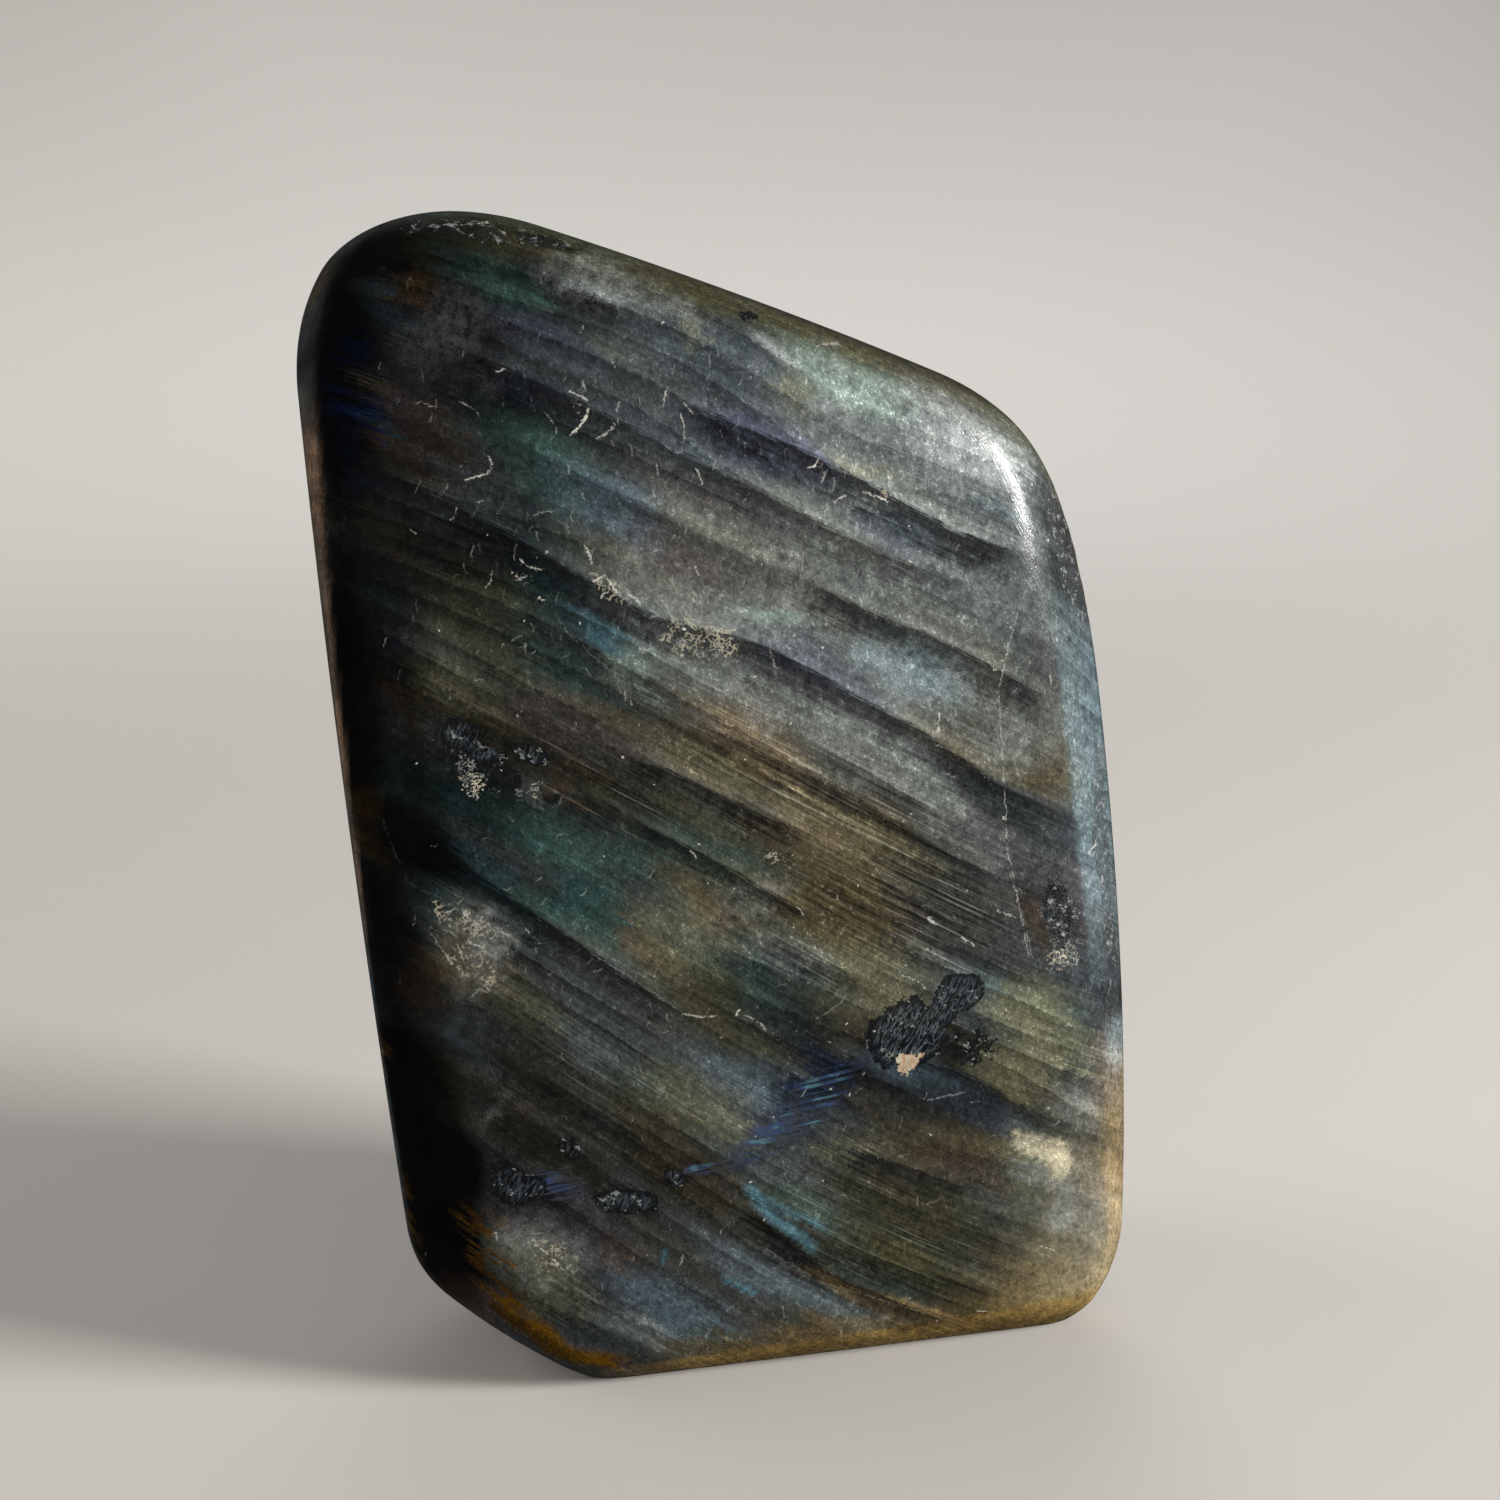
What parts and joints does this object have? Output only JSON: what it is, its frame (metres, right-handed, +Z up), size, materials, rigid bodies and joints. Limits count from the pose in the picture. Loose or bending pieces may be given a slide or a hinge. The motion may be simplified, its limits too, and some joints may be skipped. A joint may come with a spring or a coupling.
{
  "type": "polished labradorite freeform",
  "caption": "Free-standing polished stone: a slanting slab with soft edges on a flat foot, dark blue-grey with blue and green flashes.",
  "frame": {"origin": "centre of the bounding box at the level of the flat foot", "axes": "+Z up along the stone's height, the best face looks towards -Y, and +X runs along its width to the lower, right-hand side of the slanting top"},
  "size_m": [0.075, 0.0328, 0.1048],
  "materials": {
    "polished_labradorite": "glassy polish over dark blue-grey feldspar with fine slanting lamellae and blue, teal and olive flashes"
  },
  "bodies": {
    "root": {"labradorite": "polished_labradorite"}
  },
  "joints": []
}
